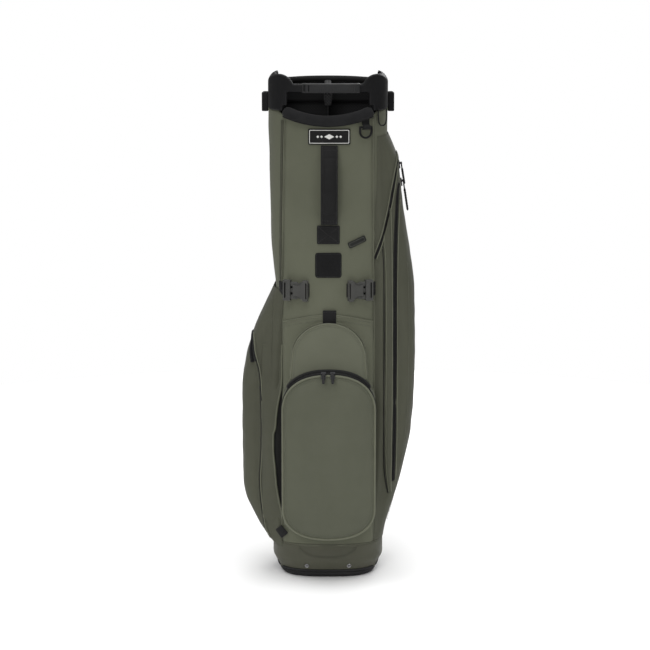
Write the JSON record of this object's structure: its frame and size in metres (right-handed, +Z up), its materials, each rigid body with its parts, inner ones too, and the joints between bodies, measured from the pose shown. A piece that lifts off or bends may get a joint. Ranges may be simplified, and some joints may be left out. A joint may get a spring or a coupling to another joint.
{
  "type": "golf stand bag",
  "caption": "Upright golf stand bag with divided cuff, pockets, carry strap, shoulder straps and folding legs worked by a hinged sole.",
  "frame": {"origin": "centre of the flat underside of the sole plate, on the ground", "axes": "+Z up along the bag, -Y towards the front with the ball pocket, +X towards the side with the long pocket"},
  "size_m": [0.307, 0.2734, 0.89],
  "materials": {
    "shell_fabric": "matt coated polyester",
    "boot_moulding": "fine moulded grain",
    "sole_rubber": "matt",
    "black_moulding": "fine grain",
    "grip_rubber": "satin",
    "black_padding": "air mesh",
    "black_webbing": "woven tape",
    "name_patch": "woven badge",
    "zip_tape": "coil zip tape",
    "pull_rubber": "satin",
    "divider_cloth": "brushed lining",
    "leg_metal": "dark anodised",
    "steel": "zinc plated"
  },
  "bodies": {
    "bag": {"sole_hinge_pin": "steel", "boot": "boot_moulding", "boot_screws": "steel", "bag_tube": "shell_fabric", "divider_panels": "divider_cloth", "divider_bars": "black_moulding", "stays": "leg_metal", "cuff_ring": "black_moulding", "cuff_grip": "grip_rubber", "cuff_roll": "black_padding", "cuff_lining": "black_padding", "name_plate": "name_patch", "carry_strap": "black_webbing", "carry_strap_patch": "black_webbing", "glove_patch": "grip_rubber", "side_tag": "black_moulding", "ring_tab": "black_webbing", "side_lugs": "black_moulding", "front_panel": "shell_fabric", "panel_tab": "black_webbing", "hood_pouch": "shell_fabric", "ball_pocket": "shell_fabric", "ball_zip": "zip_tape", "long_pocket": "shell_fabric", "long_zip": "zip_tape", "short_pocket": "shell_fabric", "short_zip": "zip_tape", "bottle_sleeve": "shell_fabric", "sleeve_tab": "black_webbing", "zip_sliders": "black_moulding", "buckle_webs": "black_webbing", "buckle_sockets": "black_moulding", "buckle_tongues": "black_moulding", "towel_loop": "black_webbing", "leg_brackets": "black_moulding", "leg_pins": "steel", "rod_guides": "black_moulding", "hip_pad": "black_padding", "shoulder_straps": "black_padding", "strap_webbing": "black_webbing", "strap_adjusters": "black_moulding"},
    "sole": {"sole_plate": "sole_rubber"},
    "leg_left": {"leg_knuckle_left": "black_moulding", "leg_tube_left": "leg_metal", "leg_foot_left": "sole_rubber"},
    "leg_right": {"leg_knuckle_right": "black_moulding", "leg_tube_right": "leg_metal", "leg_foot_right": "sole_rubber"},
    "rod_left": {"pull_rod_left": "steel"},
    "rod_right": {"pull_rod_right": "steel"},
    "towel_ring": {"towel_ring": "black_moulding"},
    "ball_pull_left": {"ball_pull_left": "pull_rubber"},
    "ball_pull_right": {"ball_pull_right": "pull_rubber"},
    "long_pull_upper": {"long_pull_upper": "pull_rubber"},
    "long_pull_lower": {"long_pull_lower": "pull_rubber"},
    "short_pull": {"short_pull": "pull_rubber"},
    "left_prong_upper": {"left_prong_upper": "black_moulding"},
    "left_prong_lower": {"left_prong_lower": "black_moulding"},
    "right_prong_upper": {"right_prong_upper": "black_moulding"},
    "right_prong_lower": {"right_prong_lower": "black_moulding"}
  },
  "joints": [
    {"name": "sole_hinge", "type": "hinge", "parent": "bag", "child": "sole", "pos_m": [0, 0.098, 0.012], "axis": [1, 0, 0], "range_deg": [0, 25], "stiffness_Nm_per_rad": 1},
    {"name": "leg_right_hinge", "type": "hinge", "parent": "bag", "child": "leg_right", "pos_m": [0.07827, 0.08111, 0.8], "axis": [0.8192, -0.5736, 0], "range_deg": [0, 29.69]},
    {"name": "leg_left_hinge", "type": "hinge", "parent": "bag", "child": "leg_left", "pos_m": [-0.07827, 0.08111, 0.8], "axis": [0.8192, 0.5736, 0], "range_deg": [0, 29.69]},
    {"name": "rod_right_slide", "type": "slide", "parent": "bag", "child": "rod_right", "axis": [0, 0, 1], "range_m": [0, 0.00565]},
    {"name": "rod_left_slide", "type": "slide", "parent": "bag", "child": "rod_left", "axis": [0, 0, 1], "range_m": [0, 0.00565]},
    {"name": "towel_ring_hinge", "type": "hinge", "parent": "bag", "child": "towel_ring", "pos_m": [0.06424, -0.08866, 0.8015], "axis": [-0.9163, -0.4006, 0], "range_deg": [0, 140]},
    {"name": "ball_pull_left_hinge", "type": "hinge", "parent": "bag", "child": "ball_pull_left", "pos_m": [-0.008, -0.14147, 0.38347], "axis": [-1, 0, 0], "range_deg": [0, 100]},
    {"name": "ball_pull_right_hinge", "type": "hinge", "parent": "bag", "child": "ball_pull_right", "pos_m": [0.008, -0.14147, 0.38347], "axis": [-1, 0, 0], "range_deg": [0, 100]},
    {"name": "long_pull_upper_hinge", "type": "hinge", "parent": "bag", "child": "long_pull_upper", "pos_m": [0.12708, -0.026, 0.733], "axis": [0, -1, 0], "range_deg": [0, 100]},
    {"name": "long_pull_lower_hinge", "type": "hinge", "parent": "bag", "child": "long_pull_lower", "pos_m": [0.13154, -0.008, 0.7], "axis": [0, -1, 0], "range_deg": [0, 100]},
    {"name": "short_pull_hinge", "type": "hinge", "parent": "bag", "child": "short_pull", "pos_m": [-0.1165, -0.0617, 0.34122], "axis": [-1, 0, 0], "range_deg": [0, 100]},
    {"name": "left_prong_upper_press", "type": "slide", "parent": "bag", "child": "left_prong_upper", "axis": [0, 0, -1], "range_m": [0, 0.003], "stiffness_N_per_m": 500},
    {"name": "left_prong_lower_press", "type": "slide", "parent": "bag", "child": "left_prong_lower", "axis": [0, 0, 1], "range_m": [0, 0.003], "stiffness_N_per_m": 500},
    {"name": "right_prong_upper_press", "type": "slide", "parent": "bag", "child": "right_prong_upper", "axis": [0, 0, -1], "range_m": [0, 0.003], "stiffness_N_per_m": 500},
    {"name": "right_prong_lower_press", "type": "slide", "parent": "bag", "child": "right_prong_lower", "axis": [0, 0, 1], "range_m": [0, 0.003], "stiffness_N_per_m": 500}
  ],
  "couplings": [
    {"joint": "leg_right_hinge", "follows": "sole_hinge", "ratio": 1.1856},
    {"joint": "leg_left_hinge", "follows": "sole_hinge", "ratio": 1.1856},
    {"joint": "rod_right_slide", "follows": "sole_hinge", "m_per_rad": 0.012897},
    {"joint": "rod_left_slide", "follows": "sole_hinge", "m_per_rad": 0.012897}
  ]
}
